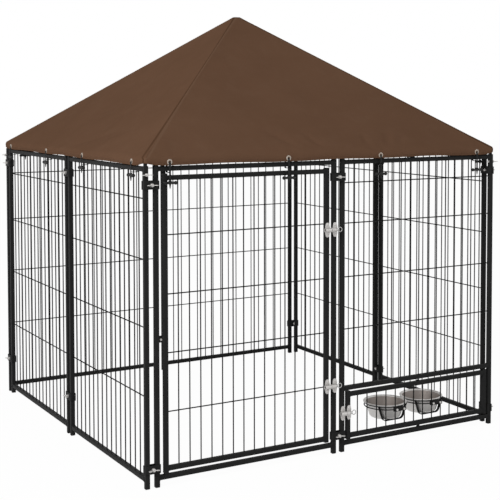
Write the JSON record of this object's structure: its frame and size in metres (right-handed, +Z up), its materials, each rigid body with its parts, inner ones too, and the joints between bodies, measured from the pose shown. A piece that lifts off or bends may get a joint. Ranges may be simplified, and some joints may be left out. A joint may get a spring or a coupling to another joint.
{
  "type": "outdoor dog kennel run",
  "caption": "Square outdoor dog run of clamped wire panels with a swinging door, a turning feeder with lift-out bowls, and a fabric hip-roof canopy.",
  "frame": {"origin": "centre of the square footprint, on the ground", "axes": "+Z up, -Y towards the front wall with the door and the feeder, +X to the feeder's side"},
  "size_m": [1.435, 1.435, 1.528],
  "materials": {
    "black_paint": "black powder coat, satin",
    "black_wire": "black powder coat on welded wire",
    "zinc_plate": "zinc plated",
    "bolt_steel": "zinc plated bar",
    "bowl_steel": "polished stainless steel",
    "canopy_fabric": "coated woven polyester, brown",
    "black_elastic": "woven elastic",
    "black_plastic": "moulded black plastic"
  },
  "bodies": {
    "run": {"door_panel_frame": "black_paint", "feeder_panel_frame": "black_paint", "back_left_frame": "black_paint", "back_right_frame": "black_paint", "left_front_frame": "black_paint", "left_rear_frame": "black_paint", "right_front_frame": "black_paint", "right_rear_frame": "black_paint", "feeder_panel_mesh": "black_wire", "back_left_mesh": "black_wire", "back_right_mesh": "black_wire", "left_front_mesh": "black_wire", "left_rear_mesh": "black_wire", "right_front_mesh": "black_wire", "right_rear_mesh": "black_wire", "upper_clamp_plates": "black_paint", "lower_clamp_plates": "black_paint", "clamp_bolts": "zinc_plate", "clamp_wing_nuts": "zinc_plate", "post_foot_caps": "black_plastic", "post_top_caps": "black_plastic", "front_left_roof_pole": "black_paint", "front_right_roof_pole": "black_paint", "back_right_roof_pole": "black_paint", "back_left_roof_pole": "black_paint", "roof_corner_fittings": "black_paint", "roof_hub": "black_paint", "roof_corner_bolts": "zinc_plate", "roof_corner_wing_nuts": "zinc_plate", "canopy": "canopy_fabric", "canopy_grommets": "zinc_plate", "canopy_tie_elastics": "black_elastic", "canopy_tie_toggles": "black_plastic", "door_pivot_studs": "zinc_plate", "feeder_pivot_studs": "zinc_plate", "upper_latch_body": "zinc_plate", "lower_latch_body": "zinc_plate", "feeder_latch_keeper": "zinc_plate"},
    "door": {"door_frame": "black_paint", "door_mesh": "black_wire", "door_pivot_bushes": "black_plastic", "upper_latch_keeper": "zinc_plate", "lower_latch_keeper": "zinc_plate"},
    "upper_bolt": {"upper_latch_bolt": "bolt_steel"},
    "lower_bolt": {"lower_latch_bolt": "bolt_steel"},
    "feeder": {"feeder_frame": "black_paint", "feeder_wires": "black_wire", "feeder_pivot_bushes": "black_plastic", "left_bowl_holder": "black_paint", "right_bowl_holder": "black_paint", "holder_clamp_bars": "black_paint", "holder_bolts": "zinc_plate", "feeder_latch_body": "zinc_plate"},
    "feeder_bolt": {"feeder_latch_bolt": "bolt_steel"},
    "left_bowl": {"left_bowl": "bowl_steel"},
    "right_bowl": {"right_bowl": "bowl_steel"}
  },
  "joints": [
    {"name": "door_swing", "type": "hinge", "parent": "run", "child": "door", "pos_m": [-0.6281, -0.6925, 0], "axis": [0, 0, 1], "range_deg": [0, 90]},
    {"name": "feeder_turn", "type": "hinge", "parent": "run", "child": "feeder", "pos_m": [0.36325, -0.6925, 0], "axis": [0, 0, 1], "continuous": true},
    {"name": "upper_latch_slide", "type": "slide", "parent": "run", "child": "upper_bolt", "axis": [-1, 0, 0], "range_m": [0, 0.009]},
    {"name": "lower_latch_slide", "type": "slide", "parent": "run", "child": "lower_bolt", "axis": [-1, 0, 0], "range_m": [0, 0.009]},
    {"name": "feeder_latch_slide", "type": "slide", "parent": "feeder", "child": "feeder_bolt", "axis": [-1, 0, 0], "range_m": [0, 0.009]},
    {"name": "left_bowl_lift", "type": "slide", "parent": "feeder", "child": "left_bowl", "axis": [0, 0, 1], "range_m": [0, 0.075]},
    {"name": "right_bowl_lift", "type": "slide", "parent": "feeder", "child": "right_bowl", "axis": [0, 0, 1], "range_m": [0, 0.075]}
  ]
}
